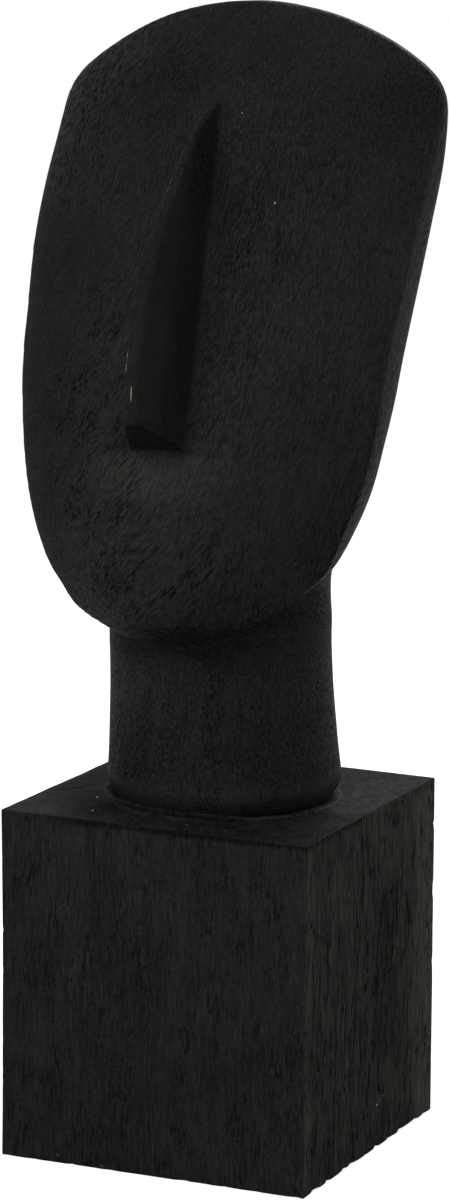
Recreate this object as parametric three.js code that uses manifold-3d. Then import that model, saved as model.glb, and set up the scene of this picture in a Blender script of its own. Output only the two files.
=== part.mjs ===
// An abstract head with a long wedge nose, carved in one with its thick round neck, on a
// block plinth. Millimetres, +Z up, the face looks along -Y, and the origin is the centre
// of the plinth's underside.

import * as THREE from 'three';
import { RoundedBoxGeometry } from 'three/addons/geometries/RoundedBoxGeometry.js';
import { mergeVertices } from 'three/addons/utils/BufferGeometryUtils.js';
import Module from 'manifold-3d';

const wasm = await Module();
wasm.setup();

// Plinth: a nearly cubic block with worn arrises
const PLINTH_WIDTH = 145;
const PLINTH_DEPTH = 145;
const PLINTH_HEIGHT = 154;
const PLINTH_ARRIS_RADIUS = 1.4;
const PLINTH_ARRIS_STEPS = 2;

// Neck: a thick round shaft that flares towards its foot and tucks in where it stands
const NECK_RADIUS = 48.8;
const NECK_FLARE = 3.4;
const NECK_FLARE_LENGTH = 62;
const NECK_FLARE_POWER = 2;
const NECK_TUCK_DEPTH = 5;
const NECK_TUCK_HEIGHT = 9;
const NECK_SEAT_GAP = 0.3;
// How far up inside the head the neck's shaft runs, as a share of the face's height
const NECK_TOP_SHARE = 0.36;

// Bead of filler round the neck's foot, part of the plinth's top
const BEAD_WIDTH = 2.8;
const BEAD_HEIGHT = 4.2;
const BEAD_SKIRT = 5;
const BEAD_CLEARANCE = 0.5;
const BEAD_ROOT = 3;

// Head: the face leans back from a round chin to a broad arched crown
const CHIN_ABOVE_PLINTH = 78;
const FACE_HEIGHT = 269.7;
const FACE_HALF_WIDTH = 89.6;
const CROWN_ARC_RADIUS = 128.5;
const CHIN_ARC_RADIUS = 87;
const TEMPLE_ROUNDING = 9;
const JAW_ROUNDING = 5;

// Nose: a long wedge with a narrow flat ridge
const NOSE_BASE_ABOVE_CHIN = 84;
const NOSE_LENGTH = 145;
const NOSE_UNDERSIDE_SLOPE = 0.49;
const NOSE_BASE_HALF_WIDTH = 13;
const NOSE_TOP_HALF_WIDTH = 3.2;
const NOSE_RIDGE_BASE_HALF_WIDTH = 3.5;
const NOSE_RIDGE_TOP_HALF_WIDTH = 1.3;
const NOSE_ROOT_DEPTH = 8;

// Fineness of the faceted surfaces
const FACE_STEPS_ACROSS = 20;
const BACK_STEPS_ACROSS = 24;
const HEAD_STEPS = 46;
const NECK_STEPS_AROUND = 56;
const NECK_FLARE_STEPS = 6;
const NECK_TUCK_STEPS = 4;
const BEAD_STEPS = 5;
const NOSE_STEPS = 16;
const SMALLEST_RING_SHARE = 0.006;

// The head's free form. Places run from 0 at the chin to 1 at the crown.
// Half width of the cheeks as a share of the greatest half width.
const CHEEK_SHARES = [
  [0.08, 0.705],
  [0.18, 0.807],
  [0.25, 0.878],
  [0.33, 0.92],
  [0.48, 0.957],
  [0.62, 0.988],
  [0.75, 1],
  [0.88, 0.993],
  [1, 0.985],
];
// How far back from the plinth's middle, as shares of the face's height: the arris
// between the face and the sides, the middle of the face, and the middle of the back,
// which starts below the chin as the underside of the jaw.
const ARRIS_SHARES = [
  [0, -0.23],
  [0.022, -0.208],
  [0.067, -0.176],
  [0.12, -0.156],
  [0.18, -0.15],
  [0.25, -0.132],
  [0.33, -0.116],
  [0.43, -0.098],
  [0.52, -0.0645],
  [0.62, -0.0255],
  [0.7, 0.0155],
  [0.78, 0.0635],
  [0.85, 0.1],
  [0.91, 0.113],
  [1, 0.104],
];
const FACE_SHARES = [
  [0, -0.232],
  [0.02, -0.252],
  [0.06, -0.273],
  [0.13, -0.286],
  [0.2, -0.283],
  [0.31, -0.248],
  [0.38, -0.22],
  [0.5, -0.171],
  [0.62, -0.129],
  [0.73, -0.079],
  [0.85, -0.039],
  [0.93, 0.021],
  [0.97, 0.063],
  [1, 0.1],
];
const BACK_SHARES = [
  [0, -0.226],
  [0.02, -0.2],
  [0.05, -0.145],
  [0.1, -0.02],
  [0.16, 0.09],
  [0.24, 0.165],
  [0.34, 0.196],
  [0.48, 0.213],
  [0.62, 0.226],
  [0.78, 0.227],
  [0.9, 0.212],
  [0.96, 0.188],
  [1, 0.155],
];
// Fullness of the sides and back: 2 is an ellipse, more is squarer
const BACK_FULLNESS = [
  [0, 2],
  [0.17, 2.15],
  [0.28, 1.92],
  [0.4, 2.15],
  [0.62, 2.52],
  [0.775, 2.9],
  [0.85, 2.5],
  [1, 2.4],
];
// How far the nose's ridge stands out from the face, as a share of the nose's length,
// from the nose's base at 0 to where the ridge dies into the forehead at 1.
const NOSE_SHARES = [
  [0, 0.19],
  [0.05, 0.212],
  [0.13, 0.232],
  [0.3, 0.25],
  [0.4, 0.243],
  [0.52, 0.221],
  [0.62, 0.196],
  [0.74, 0.161],
  [0.85, 0.106],
  [0.94, 0.053],
  [1, 0],
];

const PLINTH_COLOUR = 0x1f1e1c;
const HEAD_COLOUR = 0x201f1d;
const WOOD_ROUGHNESS = 0.72;
const WOOD_METALNESS = 0;

/** A smooth curve through [place, value] pairs, as a function of the place. */
function curveThrough(points) {
  const places = points.map(([place]) => place);
  const values = points.map(([, value]) => value);
  const interpolant = new THREE.CubicInterpolant(places, values, 1);
  return (place) => interpolant.evaluate(place)[0];
}

const cheekShare = curveThrough(CHEEK_SHARES);
const arrisShare = curveThrough(ARRIS_SHARES);
const faceShare = curveThrough(FACE_SHARES);
const backShare = curveThrough(BACK_SHARES);
const backFullness = curveThrough(BACK_FULLNESS);
const noseProminence = curveThrough(NOSE_SHARES);

/** The smaller of two sizes, with the corner between them eased over `easing`. */
function roundedMin(first, second, easing) {
  const overlap = Math.max(easing - Math.abs(first - second), 0) / easing;
  return Math.min(first, second) - (overlap * overlap * easing) / 4;
}

/** Half the chord of an arc at a depth below its top, without limit past its centre. */
function halfChord(radius, depth) {
  return depth < radius ? Math.sqrt(Math.max(depth * (2 * radius - depth), 0)) : Infinity;
}

/** Half width of the face's outline at a height above the chin. */
function outlineHalfWidth(height) {
  const cheek = FACE_HALF_WIDTH * cheekShare(height / FACE_HEIGHT);
  const crown = halfChord(CROWN_ARC_RADIUS, FACE_HEIGHT - height);
  const chin = halfChord(CHIN_ARC_RADIUS, height);
  return roundedMin(roundedMin(cheek, crown, TEMPLE_ROUNDING), chin, JAW_ROUNDING);
}

/** How far forward or back the middle of the face lies at a height above the chin. */
function faceMiddle(height) {
  return FACE_HEIGHT * faceShare(height / FACE_HEIGHT);
}

/** Heights above the chin of the head's rings, closer together at the chin and crown. */
function ringHeights() {
  return Array.from({ length: HEAD_STEPS + 1 }, (_, step) => {
    const share = THREE.MathUtils.clamp(step / HEAD_STEPS, SMALLEST_RING_SHARE, 1 - SMALLEST_RING_SHARE);
    return (FACE_HEIGHT / 2) * (1 - Math.cos(Math.PI * share));
  });
}

/** One level ring of the head: along the face from left to right, and round the back. */
function headRing(height) {
  const place = height / FACE_HEIGHT;
  const halfWidth = outlineHalfWidth(height);
  const arris = FACE_HEIGHT * arrisShare(place);
  const face = faceMiddle(height);
  const back = FACE_HEIGHT * backShare(place);
  const power = 2 / backFullness(place);
  const points = [];
  for (let step = 0; step < FACE_STEPS_ACROSS; step += 1) {
    const across = (2 * step) / FACE_STEPS_ACROSS - 1;
    points.push([halfWidth * across, face + (arris - face) * across * across]);
  }
  for (let step = 0; step < BACK_STEPS_ACROSS; step += 1) {
    const turn = (Math.PI * step) / BACK_STEPS_ACROSS;
    const side = Math.cos(turn);
    const x = halfWidth * Math.sign(side) * Math.abs(side) ** power;
    const y = arris + (back - arris) * Math.sin(turn) ** power;
    points.push([x, y]);
  }
  return points.map(([x, y]) => new THREE.Vector3(x, y, height));
}

/** A closed surface through rings of as many points each, from the lowest to the top. */
function stackRings(rings) {
  const around = rings[0].length;
  const positions = rings.flat().flatMap((point) => point.toArray());
  const indices = [];
  for (let ring = 0; ring < rings.length - 1; ring += 1) {
    for (let step = 0; step < around; step += 1) {
      const here = ring * around + step;
      const next = ring * around + ((step + 1) % around);
      indices.push(here, next, next + around);
      indices.push(here, next + around, here + around);
    }
  }
  const top = (rings.length - 1) * around;
  for (let step = 1; step < around - 1; step += 1) {
    indices.push(0, step + 1, step);
    indices.push(top, top + step, top + step + 1);
  }
  const geometry = new THREE.BufferGeometry();
  geometry.setAttribute('position', new THREE.Float32BufferAttribute(positions, 3));
  geometry.setIndex(indices);
  return geometry;
}

/** A closed geometry as a solid that can be joined and cut. */
function toSolid(geometry) {
  const bare = geometry.clone();
  bare.deleteAttribute('normal');
  bare.deleteAttribute('uv');
  const merged = mergeVertices(bare);
  return new wasm.Manifold(
    new wasm.Mesh({
      numProp: 3,
      vertProperties: new Float32Array(merged.attributes.position.array),
      triVerts: new Uint32Array(merged.index.array),
    }),
  );
}

/** A solid's surface as a geometry. */
function toGeometry(solid) {
  const mesh = solid.getMesh();
  const geometry = new THREE.BufferGeometry();
  geometry.setAttribute('position', new THREE.BufferAttribute(mesh.vertProperties, 3));
  geometry.setIndex(new THREE.BufferAttribute(mesh.triVerts, 1));
  geometry.computeVertexNormals();
  return geometry;
}

/** A turned body from [radius, height] pairs, standing along +Z. */
function turned(profile) {
  const points = profile.map(([radius, height]) => new THREE.Vector2(radius, height));
  return new THREE.LatheGeometry(points, NECK_STEPS_AROUND).rotateX(Math.PI / 2);
}

/** Radius of the neck at a height above the plinth's top. */
function neckRadius(height) {
  const flare = Math.max(1 - (height - NECK_TUCK_HEIGHT) / NECK_FLARE_LENGTH, 0);
  const tuck = Math.max(1 - height / NECK_TUCK_HEIGHT, 0);
  return NECK_RADIUS + NECK_FLARE * Math.min(flare, 1) ** NECK_FLARE_POWER - NECK_TUCK_DEPTH * tuck * tuck;
}

/** The neck's shaft, from its seat on the plinth up into the head. */
function makeNeck() {
  const top = CHIN_ABOVE_PLINTH + FACE_HEIGHT * NECK_TOP_SHARE;
  const tuckHeights = Array.from(
    { length: NECK_TUCK_STEPS },
    (_, step) => NECK_SEAT_GAP + ((NECK_TUCK_HEIGHT - NECK_SEAT_GAP) * step) / NECK_TUCK_STEPS,
  );
  const flareHeights = Array.from(
    { length: NECK_FLARE_STEPS + 1 },
    (_, step) => NECK_TUCK_HEIGHT + (NECK_FLARE_LENGTH * step) / NECK_FLARE_STEPS,
  );
  const wall = [...tuckHeights, ...flareHeights, top].map((height) => [neckRadius(height), height]);
  return turned([[0, NECK_SEAT_GAP], ...wall, [0, top]]);
}

/** One six-sided ring of the nose, in a plane that slopes down towards the face. */
function noseRing(share) {
  const height = NOSE_BASE_ABOVE_CHIN + NOSE_LENGTH * share;
  const face = faceMiddle(height);
  const prominence = NOSE_LENGTH * noseProminence(share);
  const ridgeHalf = THREE.MathUtils.lerp(NOSE_RIDGE_BASE_HALF_WIDTH, NOSE_RIDGE_TOP_HALF_WIDTH, share);
  const faceHalf = THREE.MathUtils.lerp(NOSE_BASE_HALF_WIDTH, NOSE_TOP_HALF_WIDTH, share);
  const corner = (x, forward) =>
    new THREE.Vector3(x, face - forward, height + NOSE_UNDERSIDE_SLOPE * forward);
  return [
    corner(-ridgeHalf, prominence),
    corner(ridgeHalf, prominence),
    corner(faceHalf, 0),
    corner(faceHalf, -NOSE_ROOT_DEPTH),
    corner(-faceHalf, -NOSE_ROOT_DEPTH),
    corner(-faceHalf, 0),
  ];
}

/** The nose, from its sloping underside to where it dies into the forehead. */
function makeNose() {
  return stackRings(Array.from({ length: NOSE_STEPS + 1 }, (_, step) => noseRing(step / NOSE_STEPS)));
}

/** The head, its nose and its neck, carved as one. */
function makeHead() {
  const skull = stackRings(ringHeights().map(headRing)).translate(0, 0, CHIN_ABOVE_PLINTH);
  const nose = makeNose().translate(0, 0, CHIN_ABOVE_PLINTH);
  return toGeometry(toSolid(skull).add(toSolid(nose)).add(toSolid(makeNeck())));
}

/** The plinth: a block with worn arrises and a bead of filler round the neck's foot. */
function makePlinth() {
  const block = new RoundedBoxGeometry(
    PLINTH_WIDTH,
    PLINTH_DEPTH,
    PLINTH_HEIGHT,
    PLINTH_ARRIS_STEPS,
    PLINTH_ARRIS_RADIUS,
  ).translate(0, 0, PLINTH_HEIGHT / 2);
  return toGeometry(toSolid(block).add(toSolid(makeBead())));
}

/** The bead: a rounded ring close round the neck, falling away in a hollow skirt. */
function makeBead() {
  const inner = neckRadius(Math.min(BEAD_HEIGHT, NECK_TUCK_HEIGHT)) + BEAD_CLEARANCE;
  const crest = inner + BEAD_WIDTH / 2;
  const outer = inner + BEAD_WIDTH;
  const section = [[inner, -BEAD_ROOT], [outer + BEAD_SKIRT, -BEAD_ROOT]];
  for (let step = 0; step <= BEAD_STEPS; step += 1) {
    const share = step / BEAD_STEPS;
    const rise = (BEAD_HEIGHT / 2) * share * share;
    section.push([outer + BEAD_SKIRT * (1 - share), rise]);
  }
  for (let step = 1; step <= BEAD_STEPS; step += 1) {
    const turn = (Math.PI * step) / BEAD_STEPS;
    const rise = (BEAD_HEIGHT / 2) * (1 + Math.sin(turn));
    section.push([crest + (BEAD_WIDTH / 2) * Math.cos(turn), rise]);
  }
  section.push(section[0]);
  return turned(section).translate(0, 0, PLINTH_HEIGHT);
}

/** A named part in its own painted wood. */
function makePart(name, geometry, colour) {
  const material = new THREE.MeshStandardMaterial({
    color: colour,
    roughness: WOOD_ROUGHNESS,
    metalness: WOOD_METALNESS,
  });
  const mesh = new THREE.Mesh(geometry, material);
  mesh.name = name;
  return mesh;
}

const plinth = makePart('plinth', makePlinth(), PLINTH_COLOUR);
const head = makePart('head', makeHead(), HEAD_COLOUR);
head.position.z = PLINTH_HEIGHT;

const sculpture = new THREE.Group();
sculpture.add(plinth, head);

export default sculpture;
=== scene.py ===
"""Dresses the abstract head sculpture: a carved, black-painted wooden head on a block plinth.

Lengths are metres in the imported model's own frame. +Z is up, the face looks along -Y, and the
origin is the centre of the plinth's underside.
"""

import logging
import math
from contextlib import contextmanager
from dataclasses import dataclass, field
from enum import Enum
from typing import Iterator

import bpy
import numpy as np
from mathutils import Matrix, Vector

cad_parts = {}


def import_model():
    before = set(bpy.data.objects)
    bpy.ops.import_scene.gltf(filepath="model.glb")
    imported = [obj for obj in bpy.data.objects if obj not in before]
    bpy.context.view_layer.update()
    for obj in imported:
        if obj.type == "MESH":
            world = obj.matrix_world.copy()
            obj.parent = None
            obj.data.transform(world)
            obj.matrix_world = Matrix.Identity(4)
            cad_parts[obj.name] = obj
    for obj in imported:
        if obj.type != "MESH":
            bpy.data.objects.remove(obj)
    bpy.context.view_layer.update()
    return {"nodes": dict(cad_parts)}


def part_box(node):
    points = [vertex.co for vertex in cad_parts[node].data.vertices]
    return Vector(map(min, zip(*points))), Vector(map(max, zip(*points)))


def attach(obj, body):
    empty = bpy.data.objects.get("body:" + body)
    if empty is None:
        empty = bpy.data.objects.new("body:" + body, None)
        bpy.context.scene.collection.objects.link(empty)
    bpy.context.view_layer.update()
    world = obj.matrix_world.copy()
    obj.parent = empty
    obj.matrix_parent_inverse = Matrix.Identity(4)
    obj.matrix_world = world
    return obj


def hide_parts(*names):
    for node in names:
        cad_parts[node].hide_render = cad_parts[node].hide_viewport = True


LOG = logging.getLogger("sculpture")
MM = 0.001
PAINT_WARMTH = 0.075
WHITE = (1.0, 1.0, 1.0, 1.0)

Socket = bpy.types.NodeSocket
Piece = bpy.types.Object
Lengths = tuple[float, ...]
Colour = tuple[float, float, float, float]


class Slot(Enum):
    """Names of the material slots."""

    PLINTH_WOOD = "plinth_wood"
    HEAD_WOOD = "head_wood"


class Side(Enum):
    """The plinth's sides, as the axis a side faces along and which way."""

    FRONT = (1, -1)
    BACK = (1, 1)
    LEFT = (0, -1)
    RIGHT = (0, 1)
    TOP = (2, 1)
    BOTTOM = (2, -1)


def mm(*sizes: float) -> Lengths:
    """Sizes in millimetres as lengths in metres."""
    return tuple(size * MM for size in sizes)


def smoothstep(values: np.ndarray, low: float, high: float) -> np.ndarray:
    """An eased ramp from 0 at `low` to 1 at `high`, which may be the smaller of the two."""
    share = np.clip((values - low) / (high - low), 0.0, 1.0)
    return share * share * (3.0 - 2.0 * share)


def eased(lengths: np.ndarray, low: float, high: float) -> np.ndarray:
    """An eased ramp of lengths in metres, with its ends in millimetres."""
    return smoothstep(lengths, low * MM, high * MM)


def near(lengths: np.ndarray, middle: float, edge: float, core: float) -> np.ndarray:
    """1 within `core` of a middle and 0 beyond `edge`, with all three in millimetres."""
    return eased(np.abs(lengths - middle * MM), edge, core)


def direction(azimuth: float, elevation: float) -> Vector:
    """The way from the sculpture to a place round it, by angles in degrees."""
    turn, tilt = math.radians(azimuth), math.radians(elevation)
    return Vector((math.sin(turn) * math.cos(tilt), -math.cos(turn) * math.cos(tilt),
                   math.sin(tilt)))


@dataclass(frozen=True)
class CarverNoise:
    """Smooth random heights in space, the same on every run."""

    seed: int

    def _corner(self, cells: np.ndarray) -> np.ndarray:
        """Random heights of lattice corners.

        Args:
            cells: whole-number corners, one row each.

        Returns:
            A height from -1 to 1 for each corner.
        """
        mixed = cells[:, 0] * 73856093 ^ cells[:, 1] * 19349663 ^ cells[:, 2] * 83492791
        mixed = (mixed + self.seed * 2654435761) & 0xFFFFFFFF
        mixed = ((mixed ^ (mixed >> 15)) * 2246822519) & 0xFFFFFFFF
        mixed = ((mixed ^ (mixed >> 13)) * 3266489917) & 0xFFFFFFFF
        return (mixed ^ (mixed >> 16)) / 0x7FFFFFFF - 1.0

    def heights(self, places: np.ndarray, spacing: Lengths) -> np.ndarray:
        """Heights of the noise at places.

        Args:
            places: points, one row each.
            spacing: the distance from one lump to the next along each axis.

        Returns:
            A height from -1 to 1 for each place.
        """
        scaled = places / np.array(spacing)
        cells = np.floor(scaled).astype(np.int64)
        inside = scaled - cells
        share = inside * inside * (3.0 - 2.0 * inside)
        total = np.zeros(len(places))
        for corner in np.ndindex(2, 2, 2):
            weight = np.prod(np.where(np.array(corner) == 1, share, 1.0 - share), axis=1)
            total += weight * self._corner(cells + np.array(corner))
        return total


class Workbench:
    """Hand tools that work on one piece at a time."""

    @staticmethod
    def clear() -> None:
        """Leaves nothing selected."""
        bpy.ops.object.select_all(action="DESELECT")

    @classmethod
    def hold(cls, piece: Piece) -> None:
        """Makes a piece the only selected one and the active one.

        Args:
            piece: the piece.
        """
        cls.clear()
        piece.select_set(True)
        bpy.context.view_layer.objects.active = piece

    @classmethod
    @contextmanager
    def editing(cls, piece: Piece) -> Iterator[None]:
        """Opens a piece in edit mode with all of it selected, and closes it afterwards.

        Args:
            piece: the piece.
        """
        cls.hold(piece)
        bpy.ops.object.mode_set(mode="EDIT")
        bpy.ops.mesh.select_all(action="SELECT")
        yield
        bpy.ops.object.mode_set(mode="OBJECT")

    @classmethod
    def finish_with(cls, piece: Piece, kind: str, **settings: object) -> None:
        """Adds a modifier to a piece and applies it.

        Args:
            piece: the piece.
            kind: the modifier's type.
            **settings: its settings by name.
        """
        cls.hold(piece)
        modifier = piece.modifiers.new(kind.lower(), kind)
        for name, value in settings.items():
            setattr(modifier, name, value)
        bpy.ops.object.modifier_apply(modifier=modifier.name)

    @classmethod
    def join(cls, piece: Piece, *others: Piece) -> None:
        """Joins other pieces into a piece.

        Args:
            piece: the piece that is kept.
            *others: the pieces that go into it.
        """
        cls.hold(piece)
        for other in others:
            other.select_set(True)
        bpy.ops.object.join()

    @staticmethod
    def read(piece: Piece, kind: str) -> np.ndarray:
        """Reads a vector of each of a piece's points.

        Args:
            piece: the piece.
            kind: the vector's name.

        Returns:
            The vectors, one row each.
        """
        flat = np.empty(len(piece.data.vertices) * 3)
        piece.data.vertices.foreach_get(kind, flat)
        return flat.reshape(-1, 3)

    @classmethod
    def places(cls, piece: Piece) -> np.ndarray:
        """The places of a piece's points, one row each."""
        return cls.read(piece, "co")

    @classmethod
    def normals(cls, piece: Piece) -> np.ndarray:
        """The outward directions at a piece's points, one row each."""
        return cls.read(piece, "normal")

    @staticmethod
    def move(piece: Piece, places: np.ndarray) -> None:
        """Puts a piece's points at new places."""
        piece.data.vertices.foreach_set("co", places.astype(np.float32).ravel())
        piece.data.update()

    @staticmethod
    def mark(piece: Piece, name: str, *columns: np.ndarray) -> None:
        """Writes a vector's X, Y and Z for each point of a piece into a named attribute."""
        attribute = piece.data.attributes.new(name, "FLOAT_VECTOR", "POINT")
        attribute.data.foreach_set("vector", np.stack(columns, axis=1).astype(np.float32).ravel())

    @classmethod
    def cover(cls, piece: Piece, material: bpy.types.Material) -> None:
        """Covers a piece in one material with smooth shading.

        Args:
            piece: the piece.
            material: the material.
        """
        cls.hold(piece)
        bpy.ops.object.shade_smooth()
        piece.data.materials.clear()
        piece.data.materials.append(material)

    @classmethod
    def sand(cls, piece: Piece, weights: np.ndarray, passes: int) -> None:
        """Rubs a piece smooth where it is weighted.

        Args:
            piece: the piece.
            weights: how strongly each point is rubbed, from 0 to 1.
            passes: how many times it is rubbed over.
        """
        group = piece.vertex_groups.new(name="sanded")
        levels = np.round(weights * 20.0).astype(int)
        for level in range(1, 21):
            group.add(np.flatnonzero(levels == level).tolist(), level / 20.0, "REPLACE")
        cls.finish_with(piece, "SMOOTH", factor=0.5, iterations=passes, vertex_group=group.name)
        piece.vertex_groups.clear()


class FinishSheet:
    """The node tree of one finish, with a method for each kind of node that it uses."""

    def __init__(self, tree: bpy.types.NodeTree) -> None:
        """Starts with an empty node tree."""
        self.tree = tree
        self.tree.nodes.clear()

    @classmethod
    def named(cls, name: str) -> "FinishSheet":
        """Starts an empty material.

        Args:
            name: the material's name.

        Returns:
            The material's sheet.
        """
        material = bpy.data.materials.new(name)
        material.use_nodes = True
        sheet = cls(material.node_tree)
        sheet.material = material
        return sheet

    def node(self, kind: str, **settings: object) -> bpy.types.Node:
        """Adds a node.

        Args:
            kind: the node's type.
            **settings: its properties by name.

        Returns:
            The node.
        """
        node = self.tree.nodes.new(kind)
        for name, value in settings.items():
            setattr(node, name, value)
        return node

    def feed(self, node: bpy.types.Node, inputs: dict[str | int, object]) -> None:
        """Sets or links a node's inputs.

        Args:
            node: the node.
            inputs: sockets or plain values, by the input's name or number.
        """
        for name, value in inputs.items():
            if isinstance(value, bpy.types.NodeSocket):
                self.tree.links.new(value, node.inputs[name])
            else:
                node.inputs[name].default_value = value

    def object_place(self) -> Socket:
        """The place on the piece."""
        return self.node("ShaderNodeTexCoord").outputs["Object"]

    def attribute(self, name: str) -> Socket:
        """A vector attribute of the piece."""
        return self.node("ShaderNodeAttribute", attribute_name=name).outputs["Vector"]

    def parts_of(self, vector: Socket) -> dict[str, Socket]:
        """A vector's X, Y and Z."""
        parts = self.made("ShaderNodeSeparateXYZ", {0: vector}).node.outputs
        return {axis: parts[axis] for axis in "XYZ"}

    def made(self, kind: str, inputs: dict[str | int, object], output: str | int = 0,
             **settings: object) -> Socket:
        """What a new node makes of its inputs.

        Args:
            kind: the node's type.
            inputs: sockets or plain values, by the input's name or number.
            output: the output's name or number.
            **settings: the node's properties by name.

        Returns:
            The output.
        """
        node = self.node(kind, **settings)
        self.feed(node, inputs)
        return node.outputs[output]

    def spaced(self, vector: Socket, spacing: Lengths) -> Socket:
        """A place counted in lumps that lie that far apart along each axis."""
        counts = tuple(1.0 / size for size in spacing)
        return self.made("ShaderNodeMapping", {"Vector": vector, "Scale": counts})

    def turned(self, vector: Socket, degrees: float) -> Socket:
        """A place seen in axes that are turned about +Z by an angle."""
        turn = (0.0, 0.0, -math.radians(degrees))
        return self.made("ShaderNodeMapping", {"Vector": vector, "Rotation": turn})

    def stirred(self, vector: Socket, spacing: float, reach: float) -> Socket:
        """A place moved about at random.

        Args:
            vector: the place.
            spacing: the distance from one random move to the next.
            reach: the size of the moves.

        Returns:
            The moved place.
        """
        random = self.made("ShaderNodeTexNoise", {
            "Vector": self.spaced(vector, (spacing,) * 3), "Scale": 1.0}, "Color")
        moved = self.made("ShaderNodeVectorMath", {0: random, 1: (reach,) * 3, 2: vector},
                          operation="MULTIPLY_ADD")
        return self.made("ShaderNodeVectorMath", {0: moved, 1: (reach / 2.0,) * 3},
                         operation="SUBTRACT")

    def noise(self, vector: Socket, spacing: Lengths, detail: float = 2.0, roughness: float = 0.5,
              distortion: float = 0.0) -> Socket:
        """A cloudy noise of 0.5 on average, with lumps that far apart along each axis."""
        return self.made("ShaderNodeTexNoise", {
            "Vector": self.spaced(vector, spacing), "Scale": 1.0, "Detail": detail,
            "Roughness": roughness, "Distortion": distortion}, "Fac")

    def flecks(self, vector: Socket, spacing: float, radius: float, share: float) -> Socket:
        """Sparse round dots.

        Args:
            vector: the place where they are read.
            spacing: the distance between cells that may hold a dot.
            radius: a dot's radius, as a share of a cell.
            share: the share of cells that hold one.

        Returns:
            1 on a dot and 0 elsewhere.
        """
        node = self.node("ShaderNodeTexVoronoi")
        self.feed(node, {"Vector": self.spaced(vector, (spacing,) * 3), "Scale": 1.0})
        dot = self.band(node.outputs["Distance"], radius, radius * 0.6)
        lottery = self.parts_of(node.outputs["Color"])["X"]
        return self.math("MULTIPLY", dot, self.band(lottery, 1.0 - share, 1.0 - share + 0.002))

    def band(self, value: Socket, low: float, high: float, start: float = 0.0,
             end: float = 1.0, smooth: bool = True) -> Socket:
        """A ramp of a value.

        Args:
            value: the value.
            low: where the ramp starts; above `high` it falls.
            high: where it ends.
            start: its height at `low`.
            end: its height at `high`.
            smooth: whether it is eased at both ends.

        Returns:
            The ramp's height.
        """
        if low > high:
            low, high, start, end = high, low, end, start
        return self.made("ShaderNodeMapRange", {
            "Value": value, "From Min": low, "From Max": high, "To Min": start, "To Max": end},
            "Result", interpolation_type="SMOOTHSTEP" if smooth else "LINEAR")

    def math(self, operation: str, *values: Socket | float) -> Socket:
        """One sum of a few values."""
        return self.made("ShaderNodeMath", dict(enumerate(values)), operation=operation)

    def facing(self) -> dict[str, Socket]:
        """The X, Y and Z of the way the piece's own surface faces."""
        return self.parts_of(self.node("ShaderNodeTexCoord").outputs["Normal"])

    def total(self, start: float, parts: list[tuple[Socket, float]]) -> Socket:
        """A weighted sum of noises, each counted from its middle.

        Args:
            start: the sum where every noise is at its middle.
            parts: each noise, from 0 to 1, with how much the sum gains from its 0 to its 1.

        Returns:
            The sum.
        """
        result: Socket | float = start - 0.5 * sum(gain for _, gain in parts)
        for value, gain in parts:
            result = self.math("MULTIPLY_ADD", value, gain, result)
        return result

    def blend(self, share: Socket, first: object, second: object) -> Socket:
        """A colour that goes from the first to the second by a share."""
        return self.made("ShaderNodeMix", {0: share, 6: first, 7: second}, 2, data_type="RGBA",
                         clamp_factor=True)

    def relief(self, height: Socket, depth: float) -> Socket:
        """The surface's direction with a fine relief on it, `depth` high where `height` is 1."""
        return self.made("ShaderNodeBump", {"Height": height, "Distance": depth, "Strength": 1.0})

    def surface(self, inputs: dict[str, object]) -> bpy.types.Material:
        """The finished material, with one surface shader of those inputs."""
        self.feed(self.node("ShaderNodeOutputMaterial"), {
            "Surface": self.made("ShaderNodeBsdfPrincipled", inputs)})
        return self.material


def paint(level: float) -> Colour:
    """A near-black, slightly warm colour that throws back that share of the light."""
    return (level * (1.0 + PAINT_WARMTH), level, level * (1.0 - 1.4 * PAINT_WARMTH), 1.0)


@dataclass(frozen=True)
class Chip:
    """A small spot where the paint is rubbed or knocked off, with its sizes in millimetres."""

    centre: tuple[float, float, float]
    radii: tuple[float, float, float]
    bareness: float = 1.0

    def share(self, sheet: FinishSheet, place: Socket) -> Socket:
        """How bare the surface is.

        Args:
            sheet: the node tree it is for.
            place: the place on the piece.

        Returns:
            The chip's bareness inside it and 0 outside, with a soft edge.
        """
        radii = mm(*self.radii)
        centre = Vector(middle / radius for middle, radius in zip(Vector(self.centre) * MM, radii))
        away = sheet.made("ShaderNodeVectorMath", {0: sheet.spaced(place, radii), 1: centre},
                          "Value", operation="DISTANCE")
        return sheet.math("MULTIPLY", sheet.band(away, 1.1, 0.6), self.bareness)


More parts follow.
